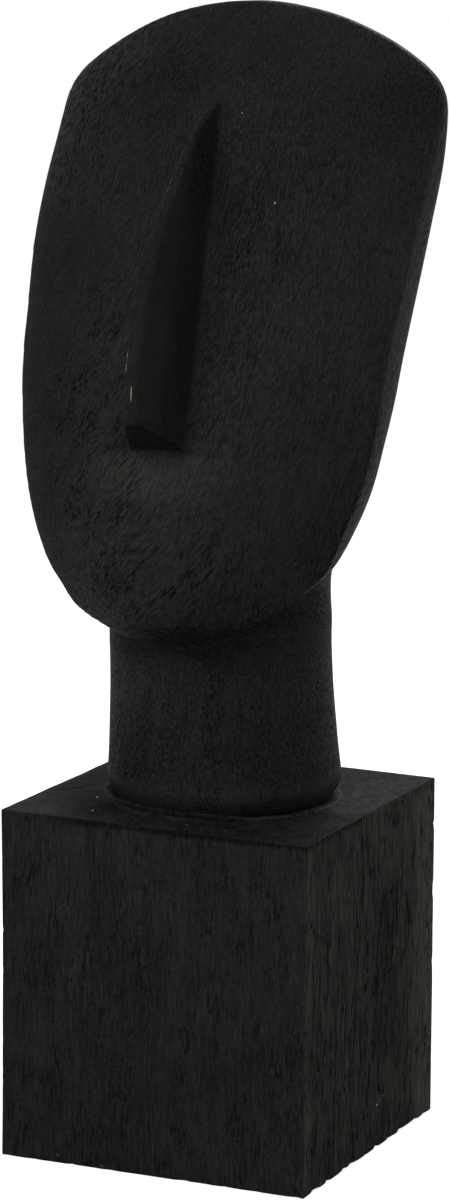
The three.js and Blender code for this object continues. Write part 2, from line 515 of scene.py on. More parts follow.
@dataclass(frozen=True)
class BlackPaint:
    """Matte black paint over open-grained wood."""

    name: str
    body: float = 0.0110
    # The dark of open pores, gouges and the crack, partly painted shade in these hollows.
    pit: Colour = paint(0.0034)
    bare: Colour = paint(0.42)
    chips: tuple[Chip, ...] = ()
    roughness: float = 0.50
    specular: float = 0.03
    relief_depth: float = 0.22 * MM
    darkest: float = 0.1
    lightest: float = 2.8

    def tinted(self, sheet: FinishSheet, level: Socket) -> Socket:
        """The paint's colour at a level, where 1 is the paint as it is on average."""
        share = sheet.band(level, self.darkest, self.lightest, smooth=False)
        return sheet.blend(share, paint(self.body * self.darkest), paint(self.body * self.lightest))

    def chipped(self, sheet: FinishSheet, place: Socket, painted: Socket) -> Socket:
        """Puts the chips into the painted colour.

        Args:
            sheet: the node tree it is for.
            place: the place on the piece.
            painted: the colour without chips.

        Returns:
            The colour with them.
        """
        for chip in self.chips:
            painted = sheet.blend(chip.share(sheet, place), painted, self.bare)
        return painted

    def sealed(self, sheet: FinishSheet, colour: Socket, pores: Socket, height: Socket,
               specular: Socket) -> bpy.types.Material:
        """Ends a sheet in the paint's shader, from its colour, pores, fine relief and sheen."""
        roughness = sheet.total(self.roughness, [(pores, -0.15)])
        return sheet.surface({"Base Color": colour, "Roughness": roughness,
                              "Normal": sheet.relief(height, self.relief_depth),
                              "Specular IOR Level": specular})


@dataclass(frozen=True)
class BlockPaint(BlackPaint):
    """The plinth's paint: straight upright grain, a scuffed and cracked top with a painted sheen on
    it, a smooth bead.
    """

    pore_spacing: Lengths = mm(0.95, 0.95, 5.0)
    fibre_spacing: Lengths = mm(0.8, 0.8, 9.0)
    line_spacing: Lengths = mm(1.0, 0.85, 9.0)
    streak_spacing: Lengths = mm(3.4, 3.4, 30.0)
    patch_spacing: Lengths = mm(9.0, 9.0, 24.0)
    scuff_spacing: Lengths = mm(12.0, 6.0, 3.0)
    pit_spacing: Lengths = mm(2.4, 8.0, 3.0)
    cloud_spacing: Lengths = mm(30.0, 30.0, 40.0)
    dust_spacing: Lengths = mm(0.9, 0.9, 0.9)
    grit_spacing: Lengths = mm(1.3, 1.3, 1.3)
    crack_stir: Lengths = mm(5.0, 6.0)
    pit_angle: float = 25.0
    scuff_angle: float = 61.6
    crack: Chip = Chip((-44.0, 42.9, 155.5), (15.0, 2.6, 9.0))
    # The top is painted lighter than the sides: a painted sheen standing in for the white studio's
    # reflection at a grazing view.
    painted_light_top_level: float = 1.8
    top_specular: float = 0.012
    right_specular: float = 0.0
    lightest: float = 5.0
    chips: tuple[Chip, ...] = (
        Chip((-45.5, -32.5, 155.2), (0.5, 1.0, 2.0)), Chip((-36.3, -55.5, 155.0), (0.5, 0.8, 3.0)),
        Chip((11.0, -60.0, 154.6), (0.4, 0.7, 2.0), 0.3),
        Chip((30.0, -62.0, 154.6), (0.4, 0.7, 2.0), 0.3),
        Chip((72.5, 8.0, 19.7), (0.8, 0.6, 0.5)), Chip((72.5, 10.5, 21.6), (0.8, 0.45, 0.35), 0.4),
        Chip((72.5, 13.0, 22.6), (0.8, 0.45, 0.35), 0.3),
        Chip((72.5, 15.0, 22.2), (0.8, 0.45, 0.35), 0.25),
        Chip((-44.7, -72.5, 3.6), (1.2, 0.8, 0.9), 0.05),
        Chip((-23.3, -72.5, 1.6), (1.2, 0.8, 0.8), 0.05))

    def sides_level(self, sheet: FinishSheet, place: Socket, right: Socket) -> Socket:
        """How light the paint of the upright sides is.

        Args:
            sheet: the node tree it is for.
            place: the place on the piece.
            right: 1 on the right side, whose grain is coarser, and 0 elsewhere.

        Returns:
            The level.
        """
        fibres = sheet.noise(place, self.fibre_spacing, 3.0, 0.6, 0.1)
        streaks = sheet.noise(place, self.streak_spacing, 3.0, 0.65, 0.2)
        clouds = sheet.noise(place, self.cloud_spacing, 3.0, 0.55)
        dust = sheet.noise(place, self.dust_spacing, 2.0, 0.6)
        lines = sheet.noise(place, self.line_spacing, 3.0, 0.65, 0.1)
        level = sheet.total(1.06, [(fibres, 1.9), (streaks, 0.9), (clouds, 0.9), (dust, 1.6)])
        lined = sheet.math("MULTIPLY", right, sheet.total(1.2, [(lines, 6.6), (streaks, 3.2)]))
        return sheet.math("ADD", level, lined)

    def material(self) -> bpy.types.Material:
        """Mixes the paint.

        Returns:
            The material.
        """
        sheet = FinishSheet.named(self.name)
        place = sheet.object_place()
        faces = sheet.facing()
        # X of this attribute is the paint's lightness, with painted shadow, shade and light in it
        # besides the paint's own tone.
        wear_and_painted_light = sheet.parts_of(sheet.attribute("wear_and_painted_light"))
        top = sheet.band(faces["Z"], 0.5, 0.9)
        right = sheet.band(faces["X"], 0.6, 0.9)
        upright = sheet.math("SUBTRACT", 1.0, top)
        pores = sheet.noise(place, self.pore_spacing, 2.0, 0.55, 0.15)
        patches = sheet.noise(place, self.patch_spacing, 2.0, 0.5, 0.3)
        openness = sheet.math("MULTIPLY", upright, sheet.band(patches, 0.44, 0.62, 0.12, 0.95))
        open_pores = sheet.math("MULTIPLY", sheet.band(pores, 0.49, 0.37), openness)
        turned = sheet.turned(place, self.scuff_angle)
        scuffs = sheet.noise(turned, self.scuff_spacing, 4.0, 0.65, 0.8)
        grit = sheet.noise(place, self.grit_spacing, 3.0, 0.65)
        crack = self.crack.share(sheet, sheet.stirred(turned, *self.crack_stir))
        pits = sheet.noise(sheet.turned(place, self.pit_angle), self.pit_spacing, 4.0, 0.7)
        scuffed = sheet.total(1.0, [(scuffs, 2.0), (pits, 2.6)])
        # The top's level carries the painted sheen and the painted shadow and light round the neck.
        painted_light_top_level = sheet.math("MULTIPLY", scuffed, sheet.math("ADD", wear_and_painted_light["X"], self.painted_light_top_level))
        side_level = sheet.math("ADD", self.sides_level(sheet, place, right), wear_and_painted_light["X"])
        level = sheet.math("ADD", sheet.math("MULTIPLY", side_level, upright),
                           sheet.math("MULTIPLY", painted_light_top_level, top))
        shaded = sheet.blend(open_pores, self.tinted(sheet, level), self.pit)
        cracked = sheet.blend(sheet.math("MULTIPLY", crack, top), shaded, self.pit)
        grain = sheet.math("MULTIPLY", upright, sheet.total(
            0.0, [(pores, 0.5), (grit, 0.5), (open_pores, -0.8)]))
        scuff_depth = sheet.math("MULTIPLY", top, sheet.band(wear_and_painted_light["Y"], 0.0, 1.0, 3.0, 0.8))
        lumps = sheet.total(0.0, [(scuffs, 1.0), (pits, 1.2), (crack, -1.0)])
        relief = sheet.math("ADD", grain, sheet.math("MULTIPLY", lumps, scuff_depth))
        side_specular = sheet.band(right, 0.0, 1.0, self.specular, self.right_specular)
        specular = sheet.math(
            "MULTIPLY_ADD", upright, side_specular, sheet.math("MULTIPLY", top, self.top_specular))
        return self.sealed(sheet, self.chipped(sheet, place, cracked), pores, relief, specular)


@dataclass(frozen=True)
class CarvedPaint(BlackPaint):
    """The head's paint: fine brushed grain and short gouge strokes that follow the carving."""

    stroke_spacing: Lengths = mm(0.78, 4.4, 0.78)
    fibre_spacing: Lengths = mm(0.68, 3.2, 0.68)
    streak_spacing: Lengths = mm(1.6, 16.0, 1.6)
    patch_spacing: Lengths = mm(6.5, 34.0, 6.5)
    stipple_spacing: Lengths = mm(0.85, 0.85, 0.85)
    cloud_spacing: Lengths = mm(38.0, 38.0, 38.0)
    fleck_spacing: float = 8.0 * MM
    fleck_radius: float = 0.03
    fleck_share: float = 0.02
    chips: tuple[Chip, ...] = (
        Chip((33.1, -21.9, 418.2), (0.4, 2.0, 0.4), 0.8),
        Chip((13.1, -12.2, 455.1), (0.3, 1.5, 0.3), 0.5),
        Chip((82.7, 12.4, 441.1), (0.3, 1.5, 0.3), 0.6),
        # These two on the nose's left arris are rubbed paint with a painted highlight on it.
        Chip((-3.1, -91.3, 356.5), (0.26, 3.0, 6.0), 0.9),
        Chip((0.6, -94.2, 343.0), (0.2, 3.0, 3.6), 0.6))

    def material(self) -> bpy.types.Material:
        """Mixes the paint.

        Returns:
            The material.
        """
        sheet = FinishSheet.named(self.name)
        place = sheet.object_place()
        grain = sheet.attribute("grain")
        # X of this attribute is the paint's lightness, with painted shade and light in it besides
        # the paint's own tone.
        wear_and_painted_light = sheet.parts_of(sheet.attribute("wear_and_painted_light"))
        strokes = sheet.noise(grain, self.stroke_spacing, 1.5, 0.5, 0.15)
        fibres = sheet.noise(grain, self.fibre_spacing, 2.0, 0.6, 0.1)
        streaks = sheet.noise(grain, self.streak_spacing, 2.0, 0.6)
        patches = sheet.noise(grain, self.patch_spacing, 2.0, 0.55)
        stipple = sheet.noise(place, self.stipple_spacing, 2.0, 0.6)
        clouds = sheet.noise(place, self.cloud_spacing, 2.0, 0.5)
        odd = sheet.math("ABSOLUTE", wear_and_painted_light["Z"])
        straight = sheet.math("SUBTRACT", 1.0, sheet.math("MULTIPLY", odd, 0.6))
        openness = sheet.math("MULTIPLY", wear_and_painted_light["Y"], sheet.band(patches, 0.42, 0.58, 0.12, 1.0))
        gouges = sheet.math("MULTIPLY", sheet.band(strokes, 0.50, 0.41), openness)
        level = sheet.total(1.08, [(stipple, 0.95), (clouds, 0.6)])
        directed = sheet.total(0.0, [(fibres, 1.05), (streaks, 1.1)])
        stippled = sheet.math("MULTIPLY", wear_and_painted_light["Z"], sheet.total(0.0, [(stipple, 1.2)]))
        level = sheet.math("ADD", level, sheet.math("MULTIPLY", directed, straight))
        level = sheet.math("ADD", sheet.math("ADD", level, stippled), wear_and_painted_light["X"])
        shaded = sheet.blend(gouges, self.tinted(sheet, level), self.pit)
        flecks = sheet.flecks(place, self.fleck_spacing, self.fleck_radius, self.fleck_share)
        flecked = sheet.blend(flecks, shaded, self.bare)
        height = sheet.total(0.0, [(fibres, 0.45), (stipple, 0.45), (gouges, -1.3)])
        sheen = sheet.band(fibres, 0.36, 0.64, 0.0, 2.0 * self.specular)
        specular = sheet.math("MULTIPLY", sheen, sheet.band(wear_and_painted_light["Z"], -0.6, 0.0, 0.35, 1.0))
        return self.sealed(sheet, self.chipped(sheet, place, flecked), fibres, height, specular)


@dataclass(frozen=True)
class Patch:
    """A soft-edged oval area of a surface, with its sizes in millimetres."""

    centre: tuple[float, float]
    edge: float
    core: float
    stretch: tuple[float, float] = (1.0, 1.0)

    def share(self, across: np.ndarray, up: np.ndarray) -> np.ndarray:
        """How far inside the area places lie.

        Args:
            across: how far to the right each place lies.
            up: how high each place lies.

        Returns:
            1 in the area's core and 0 beyond its edge.
        """
        middle_across, middle_up = mm(*self.centre)
        reach = np.hypot((across - middle_across) / self.stretch[0],
                         (up - middle_up) / self.stretch[1])
        return eased(reach, self.edge, self.core)


@dataclass(frozen=True)
class PlinthTones:
    """How much lighter the plinth's paint is in each area than on the whole, much of it painted
    shadow, shade and light.
    """

    bead: float = 0.3
    # Painted light on the bead's right half.
    bead_right_light: float = 0.85
    # Painted shadow of the head and neck on the top in front of the neck, deeper towards the right
    # corner.
    shadow_before_neck: float = -0.80
    shadow_front_corner: float = -0.10
    # Darker paint with painted shade on the top beside the neck's left.
    shade_and_dark_paint_left_of_neck: float = -1.5
    # Painted light on the top to the right of the neck.
    light_right_of_neck: float = 0.4
    right: float = 0.05
    right_low: float = -0.15
    # Painted shade in the long dent of the right side.
    dent_shade: float = -0.65
    # Painted light along the back part of the right side.
    far_right_light: float = 1.6
    # Painted highlight along the right side's front arris.
    right_arris_highlight: float = 0.3
    low: float = -0.06
    middle: float = -0.10


@dataclass
class Plinth:
    """The block plinth with the bead of filler round the neck's foot."""

    height: float = 154.0 * MM
    cuts: int = 96
    arris_radius: float = 1.1 * MM
    waist: float = 0.7 * MM
    wave_depth: float = 0.20 * MM
    ripple_depth: float = 0.06 * MM
    notch_depth: float = 0.6 * MM
    torn_depth: float = 0.6 * MM
    dent_depth: float = 0.55 * MM
    pit_depth: float = 0.5 * MM
    bead_radius: float = 51.3 * MM
    bead_shift: float = 0.7 * MM
    bead_half_width: float = 1.7 * MM
    bead_height: float = 4.1 * MM
    bead_slope: float = 0.5
    bead_root: float = 4.0 * MM
    bead_lump: float = 0.45 * MM
    bead_sag: float = 2.6 * MM
    skirt_reach: float = 9.0 * MM
    skirt_spread: float = 7.5 * MM
    skirt_bite: float = 0.3 * MM
    bead_points: int = 48
    bead_steps: int = 192
    top_rises: Lengths = mm(1.6, -0.5, 1.3, 3.0)
    pit: Patch = Patch((40.3, 79.0), 2.4, 0.0)
    middle: Patch = Patch((5.0, 62.0), 60.0, 20.0)
    tones: PlinthTones = PlinthTones()
    finish: BlockPaint = field(default_factory=lambda: BlockPaint("plinth_paint"))
    noise: CarverNoise = field(default_factory=lambda: CarverNoise(11))

    def __post_init__(self) -> None:
        """Reads the block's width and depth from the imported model."""
        low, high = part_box("plinth")
        self.low = np.array(low)
        self.high = np.array([high.x, high.y, self.height])

    def block(self) -> Piece:
        """Saws the block.

        Returns:
            The block, with a fine grid on each side.
        """
        Workbench.clear()
        bpy.ops.mesh.primitive_cube_add(size=1.0)
        piece = bpy.context.object
        piece.name = piece.data.name = "block_plinth"
        with Workbench.editing(piece):
            bpy.ops.transform.resize(value=tuple(self.high - self.low))
            bpy.ops.transform.translate(value=tuple((self.high + self.low) / 2.0))
            bpy.ops.mesh.subdivide(number_cuts=self.cuts)
        return piece

    def inset(self, places: np.ndarray, side: Side) -> np.ndarray:
        """How far inside one side of the block each place lies."""
        axis, way = side.value
        return way * ((self.low if way < 0 else self.high)[axis] - places[:, axis])

    def rise(self, places: np.ndarray) -> np.ndarray:
        """How far the worn top stands above its true height at each place.

        Args:
            places: points, one row each.

        Returns:
            The rise between the four corners' own rises.
        """
        front_left, front_right, back_right, back_left = self.top_rises
        across = self.inset(places, Side.LEFT) / (self.high[0] - self.low[0])
        back = self.inset(places, Side.FRONT) / (self.high[1] - self.low[1])
        front_rise = front_left + (front_right - front_left) * across
        back_rise = back_left + (back_right - back_left) * across
        return front_rise + (back_rise - front_rise) * back

    def unevenness(self, places: np.ndarray) -> np.ndarray:
        """How far the hand-worked sides stand out at each place."""
        waves = self.noise.heights(places, mm(30, 30, 55)) * self.wave_depth
        return waves + self.noise.heights(places + 1.0, mm(6, 6, 24)) * self.ripple_depth

    def dents(self, places: np.ndarray) -> np.ndarray:
        """How deep the sides' knocks are.

        Args:
            places: points, one row each.

        Returns:
            The depth of the long dent in the right side and the pit in the front.
        """
        x, y, z = places.T
        on_right = eased(self.inset(places, Side.RIGHT), 2, 0)
        on_front = eased(self.inset(places, Side.FRONT), 2, 0)
        dent = near(y, 17, 12, 0) * near(z, 82, 46, 14)
        return on_right * dent * self.dent_depth + on_front * self.pit.share(x, z) * self.pit_depth

    # Shapes the block only; no light or shade is painted here.
    def wear_and_painted_light(self, piece: Piece) -> None:
        """Gives the block its hand-worked unevenness, worn arrises and ragged foot.

        Args:
            piece: the sawn block.
        """
        places = Workbench.places(piece)
        insets = {side: self.inset(places, side) for side in Side}
        nearest = np.sort(np.stack(list(insets.values())), axis=0)
        arris = eased(nearest[1], 5, 0) * eased(nearest[0], 0.5, 0)
        bulge = self.unevenness(places)
        nicks = self.noise.heights(places + 2.0, mm(3.2, 3.2, 4.5))
        notches = smoothstep(nicks, 0.3, 0.9) * eased(insets[Side.TOP], 1, 12).clip(0.12)
        ragged = self.noise.heights(places + 3.0, mm(4.6, 4.6, 8.0))
        torn = smoothstep(ragged, -0.1, 0.8) * eased(insets[Side.BOTTOM], 4, 0)
        torn *= 0.25 + 0.75 * eased(insets[Side.RIGHT], 6, 0)
        depth = arris * (notches * self.notch_depth + torn * self.torn_depth) + self.dents(places)
        middle = 1.0 - (2.0 * places[:, 2] / self.height - 1.0) ** 2
        moved = places.copy()
        for side in Side:
            axis, way = side.value
            on_side = insets[side] < 1e-6
            if side is not Side.BOTTOM:
                moved[on_side, axis] += way * bulge[on_side]
            if side is Side.LEFT:
                moved[on_side, axis] -= way * self.waist * middle[on_side]
            moved[on_side, axis] -= way * depth[on_side]
        moved[:, 2] += self.rise(places) * smoothstep(places[:, 2], 0.6 * self.height, self.height)
        moved[:, 2] = np.maximum(moved[:, 2], 0.0)
        Workbench.move(piece, moved)

    def bead_section(self, piece: Piece) -> np.ndarray:
        """Shapes the bead's section: a round bead that falls away in a hollow skirt.

        Args:
            piece: a round outline standing in the XZ plane, of radius 1.

        Returns:
            The section's points, from the neck's axis outwards along +X.
        """
        places = Workbench.places(piece)
        out, up = places[:, 0].copy(), places[:, 2].copy()
        middle = self.height + self.bead_height - self.bead_half_width
        turn = np.arcsin(np.clip(-up, 0.0, 1.0))
        skirt = (out > -1e-4) & (up < 0.0)
        crown = self.bead_radius + np.where(out > 0.0, self.bead_half_width, self.bead_root) * out
        inner = np.full(len(out), self.bead_radius - self.bead_root)
        fillet = self.bead_radius + self.bead_half_width + self.skirt_reach * (1.0 - np.cos(turn))
        places[:, 0] = np.where(up >= 0.0, crown, np.where(skirt, fillet, inner))
        fall = np.where(out > 0.0, 1.0, self.bead_slope)
        over = self.bead_half_width * (1.0 - fall * (1.0 - up))
        low = np.where(skirt, middle, middle + self.bead_half_width * (1.0 - self.bead_slope))
        places[:, 2] = np.where(up >= 0.0, middle + over, low + (low - self.height) * up)
        return places

    def ring(self) -> Piece:
        """Spins the bead's section round the neck's axis.

        Returns:
            An even, closed ring.
        """
        Workbench.clear()
        bpy.ops.mesh.primitive_circle_add(vertices=self.bead_points, radius=1.0,
                                          rotation=(math.pi / 2.0, 0.0, 0.0))
        piece = bpy.context.object
        bpy.ops.object.transform_apply(location=False, rotation=True, scale=False)
        Workbench.move(piece, self.bead_section(piece))
        with Workbench.editing(piece):
            bpy.ops.mesh.spin(steps=self.bead_steps, angle=2.0 * math.pi, center=(0.0, 0.0, 0.0),
                              axis=(0.0, 0.0, 1.0))
            bpy.ops.mesh.select_all(action="SELECT")
            bpy.ops.mesh.remove_doubles(threshold=0.01 * MM)
            bpy.ops.mesh.normals_make_consistent(inside=False)
        return piece

    def bead(self) -> Piece:
        """Lays the bead of filler round the neck's foot.

        Returns:
            The bead, a closed ring with a hollow skirt that dies into the block's top.
        """
        piece = self.ring()
        places = Workbench.places(piece)
        reach = np.hypot(places[:, 0], places[:, 1])
        outside = self.bead_radius + self.bead_half_width
        toe = np.clip((reach - outside) / self.skirt_reach, 0.0, 1.0)
        azimuth = np.degrees(np.arctan2(places[:, 0], -places[:, 1]))
        spread = smoothstep(np.abs(azimuth - 85.0), 75.0, 10.0) * self.skirt_spread
        places[:, :2] *= (1.0 + spread * toe ** 1.5 / reach)[:, None]
        top = places * (1.0, 1.0, 0.0) + (0.0, 0.0, self.height)
        ground = self.rise(top) + self.unevenness(top) - self.skirt_bite
        lumps = self.noise.heights(top + 5.0, mm(7, 7, 50)) * self.bead_lump
        sag = smoothstep(np.abs(azimuth - 75.0), 75.0, 35.0) * self.bead_sag
        low = eased(places[:, 2] - self.height, 3.5, 0)
        places[:, 2] += ground * low + (lumps - sag) * (1.0 - toe)
        places[:, 0] += self.bead_shift
        Workbench.move(piece, places)
        return piece

    def dress(self, piece: Piece, smooth: float) -> None:
        """Marks how light and how smooth a piece's paint is from place to place, the lightness with
        painted shadow, shade and light in it.

        Args:
            piece: the block or the bead.
            smooth: 0 for the block's open grain and 1 for the bead's filler.
        """
        places, tones = Workbench.places(piece), self.tones
        x, y, z = places.T
        on_top = eased(z - self.height, -3, -1)
        corner = eased(x, 15, 50)
        # Painted shadow of the head and neck on the top and on the bead in front of the neck.
        shadow_before_neck = eased(y - 30 * MM * corner, -30, -50) * near(x, 22, 84, 54)
        # Darker paint with painted shade on the top beside the neck's left.
        shade_and_dark_paint_left_of_neck = eased(np.hypot(x, y), 86, 60) * eased(x, -20, -40)
        # Painted light on the top to the right of the neck.
        light_right_of_neck = eased(x, 30, 56) * eased(y, -15, 10)
        # Painted light on the bead's right half; the bead is darkened by the painted shadow in
        # front of the neck.
        bead_tone = tones.bead * (1.0 - shadow_before_neck) + tones.bead_right_light * corner
        top_tone = (tones.shadow_before_neck + tones.shadow_front_corner * corner) * shadow_before_neck
        top_tone += tones.shade_and_dark_paint_left_of_neck * shade_and_dark_paint_left_of_neck + tones.light_right_of_neck * light_right_of_neck
        on_right = eased(self.inset(places, Side.RIGHT), 2, 0.5) * (1.0 - on_top)
        low = smoothstep(z, 0.9 * self.height, 0.1 * self.height)
        # Painted shade in the long dent of the right side.
        dent_shade = near(y, 17, 19, 6) * near(z, 80, 55, 25)
        right_tone = tones.right + tones.right_low * low + tones.dent_shade * dent_shade
        # Painted light along the right side's back part and a painted highlight along its front
        # arris.
        right_tone += tones.far_right_light * eased(y, 40, 60) + tones.right_arris_highlight * eased(y, -66, -69)
        side_tone = on_right * right_tone + tones.low * low + tones.middle * self.middle.share(x, z)
        lighter = smooth * bead_tone + on_top * top_tone + (1.0 - on_top) * side_tone
        # X is the lightness with the painted shadow, shade and light in it, Y the smoothness.
        Workbench.mark(piece, "wear_and_painted_light", lighter, np.full(len(places), smooth), np.zeros(len(places)))

    def build(self) -> Piece:
        """Makes and paints the plinth.

        Returns:
            The finished plinth.
        """
        piece = self.block()
        self.wear_and_painted_light(piece)
        Workbench.finish_with(piece, "BEVEL", width=self.arris_radius, segments=3,
                              limit_method="ANGLE", angle_limit=math.radians(50.0))
        self.dress(piece, 0.0)
        bead = self.bead()
        self.dress(bead, 1.0)
        Workbench.join(piece, bead)
        Workbench.cover(piece, self.finish.material())
        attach(piece, "root")
        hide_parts("plinth")
        LOG.info("plinth: %d faces", len(piece.data.polygons))
        return piece


@dataclass(frozen=True)
class HeadTones:
    """How much lighter the head's paint is in each area than on the whole, most of it painted light
    and shade.
    """

    # Painted highlight along the face's left rim.
    rim: float = 0.35
    # Painted light at the neck's tucked toe.
    toe: float = 0.40
    # Painted light below the nose.
    light_below_nose: float = 0.95
    # Painted light on the chin.
    chin: float = 0.15
    # Painted shade on the nose's flanks, lifted towards the front of the right flank.
    left_flank_shade: float = -0.45
    right_flank_shade: float = -0.36
    flank_front_light: float = 0.40
    # Painted shade on the nose's underside.
    underside: float = -0.43
    # Painted shade in the crease under the chin.
    crease_shade: float = -0.60
    foot: float = -0.45
    neck: float = -0.07
    # Painted shade on the jaw.
    jaw_shade: float = -0.30
    # Painted shade on the crown.
    crown: float = -0.18


@dataclass
class Head:
    """The head with its nose and neck, carved in one."""

    chin_height: float = 232.0 * MM
    face_height: float = 269.7 * MM
    nose_bottom: float = 84.0 * MM
    nose_length: float = 145.0 * MM
    neck_lean: float = -0.0405
    neck_pivot: float = 193.0 * MM
    foot_pinch: float = 1.6 * MM
    side_swell: float = 0.012
    left_jowl: float = 2.8 * MM
    left_jowl_height: float = 242.0 * MM
    right_jowl: float = 2.4 * MM
    right_jowl_height: float = 249.0 * MM
    wave_depth: float = 0.22 * MM
    dip_depth: float = 0.07 * MM
    stroke_depth: float = 0.05 * MM
    grid_depth: int = 8
    grid_fill: float = 0.88
    arris_angle: float = 32.0
    arris_crease: float = 0.95
    light_below_nose: Patch = Patch((-4.0, 77.0), 22.0, 2.0, (1.8, 1.0))
    # The area of the painted light on the chin.
    chin: Patch = Patch((0.0, 38.0), 34.0, 8.0, (1.6, 1.0))
    jaw_shade: Patch = Patch((32.0, 10.0), 24.0, 8.0, (1.6, 1.0))
    cheek: Patch = Patch((-38.0, 105.0), 40.0, 14.0, (0.9, 1.6))
    jowl: Patch = Patch((-30.0, 66.0), 26.0, 6.0, (1.5, 1.0))
    lips: Patch = Patch((0.0, 34.0), 32.0, 10.0, (1.9, 1.0))
    beside_nose: Patch = Patch((26.0, 172.0), 26.0, 8.0, (1.0, 1.4))
    tones: HeadTones = HeadTones()
    finish: CarvedPaint = field(default_factory=lambda: CarvedPaint("head_paint"))
    noise: CarverNoise = field(default_factory=lambda: CarverNoise(29))

    def blank(self, node: Piece) -> Piece:
        """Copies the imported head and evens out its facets.

        Args:
            node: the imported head.

        Returns:
            A closed copy with a fine even mesh and crisp arrises.
        """
        piece = bpy.data.objects.new("carved_head", node.data.copy())
        bpy.context.scene.collection.objects.link(piece)
        piece.data.name = "carved_head"
        with Workbench.editing(piece):
            bpy.ops.mesh.remove_doubles(threshold=0.01 * MM)
            bpy.ops.mesh.tris_convert_to_quads(face_threshold=math.radians(25.0),
                                               shape_threshold=math.radians(50.0))
            bpy.ops.mesh.select_mode(type="EDGE")
            bpy.ops.mesh.select_all(action="DESELECT")
            bpy.ops.mesh.edges_select_sharp(sharpness=math.radians(self.arris_angle))
            bpy.ops.transform.edge_crease(value=self.arris_crease)
            bpy.ops.mesh.select_mode(type="VERT")
        Workbench.finish_with(piece, "SUBSURF", levels=2, render_levels=2)
        Workbench.finish_with(piece, "REMESH", mode="SHARP", octree_depth=self.grid_depth,
                              scale=self.grid_fill, sharpness=1.0)
        return piece

    def outline(self, places: np.ndarray) -> np.ndarray:
        """How far out each place lies towards the head's outline at its height.

        Args:
            places: points, one row each.

        Returns:
            -1 at the left outline, 0 in the middle and 1 at the right outline.
        """
        rows = np.linspace(places[:, 2].min(), places[:, 2].max(), 90)
        widest = np.array([np.abs(places[np.abs(places[:, 2] - row) < 3 * MM, 0]).max()
                           for row in rows])
        return places[:, 0] / np.interp(places[:, 2], rows, widest)

    def behind_face(self, places: np.ndarray) -> np.ndarray:
        """How far behind the middle of the face each place lies.

        Args:
            places: the head's points.

        Returns:
            The distance at each place's own height, below 0 on the nose.
        """
        beside_nose = (np.abs(places[:, 0]) < 34 * MM) & (np.abs(places[:, 0]) > 18 * MM)
        front = places[beside_nose & (places[:, 2] > self.chin_height)]
        rows = np.linspace(self.chin_height, self.chin_height + self.face_height, 28)
        middles = [front[np.abs(front[:, 2] - row) < 6 * MM, 1].min() for row in rows]
        return places[:, 1] - np.interp(places[:, 2], rows, middles)

    def soften(self, piece: Piece) -> None:
        """Rounds off the arrises that are worn soft: the left rim, the crown and the chin.

        Args:
            piece: the blank.
        """
        places = Workbench.places(piece)
        x, y, z = places.T
        out = self.outline(places)
        above = z - self.chin_height
        above_nose = above - self.nose_bottom
        beside_nose = eased(np.abs(x), 15, 20)
        off_nose = np.maximum(beside_nose, np.maximum(
            eased(above_nose, -6, -14), eased(above_nose - self.nose_length, 10, 25)))
        Workbench.sand(piece, np.ones(len(places)), 1)
        Workbench.sand(piece, off_nose * smoothstep(out, 0.97, 0.9), 3)
        rim = smoothstep(out, -0.84, -0.95) * eased(above, 5, 30)
        chin = eased(x, 52, 18) * near(above, 3, 30, 12) * eased(y, -36, -50)
        crown = 0.4 * smoothstep(above / self.face_height, 0.88, 0.97) * eased(x, 60, -10)
        Workbench.sand(piece, np.maximum(rim, np.maximum(chin, crown)), 10)
        ridge = eased(self.behind_face(places), -5, -9) * eased(above_nose, 1, 7)
        ridge *= 1.0 - beside_nose
        Workbench.sand(piece, ridge, 4)
        Workbench.sand(piece, ridge * eased(above_nose, 90, 30) * eased(x, -1, 3), 10)

    def carve(self, piece: Piece) -> None:
        """Gives the head its hand-carved unevenness and sets the neck's slight lean.

        Args:
            piece: the softened blank.
        """
        places, normals = Workbench.places(piece), Workbench.normals(piece)
        waves = self.noise.heights(places, mm(34, 34, 40)) * self.wave_depth
        dips = self.noise.heights(places + 1.0, mm(11, 11, 14)) * self.dip_depth
        strokes = self.noise.heights(self.grain(places) + 2.0, mm(4, 16, 4)) * self.stroke_depth
        seat = eased(places[:, 2], 158, 166)
        places = places + normals * ((waves + dips + strokes) * seat)[:, None]
        x, y, z = places.T.copy()
        pinch = 1.0 - self.foot_pinch * eased(z, 166, 158) / np.hypot(x, y).clip(1 * MM)
        lean = self.neck_lean * (np.clip(z, 168 * MM, 224 * MM) - self.neck_pivot)
        x = x * pinch + lean * eased(z, 246, 228)
        jowls = self.left_jowl * eased(x, -24, -46) * near(z - self.left_jowl_height, 0, 13, 1)
        jowls += self.right_jowl * eased(x, 24, 50) * near(z - self.right_jowl_height, 0, 18, 2)
        x = x * (1.0 + self.side_swell * eased(z, 232, 262)) - jowls
        Workbench.move(piece, np.stack([x, y * pinch, z], axis=1))

    def grain(self, places: np.ndarray) -> np.ndarray:
        """Where each place lies across, along and through the strokes of the carving.

        The strokes slope steeply up to the right on the left cheek and the chin, and stand
        almost upright on the right cheek, the neck and the forehead.

        Args:
            places: the head's points.

        Returns:
            Across, along and into the face, one row for each place.
        """
        x, _, z = places.T
        above = z - self.chin_height
        level = above - 130 * MM
        fade = 70 * MM
        left_lean = 0.50 * level - 0.25 * np.maximum(above - 190 * MM, 0.0)
        right_lean = -0.02 * level - 0.5 * fade * (
            np.exp(-np.clip(above, 0.0, None) / fade) - math.exp(-130 * MM / fade))
        lean = (left_lean + (right_lean - left_lean) * eased(x, -55, 50)) * eased(above, -12, 12)
        across = x - lean - 0.06 * (z - 0.3)
        along = self.chin_height + np.where(above < 0.0, 1.7 * above, above)
        return np.stack([across, along, self.behind_face(places)], axis=1)

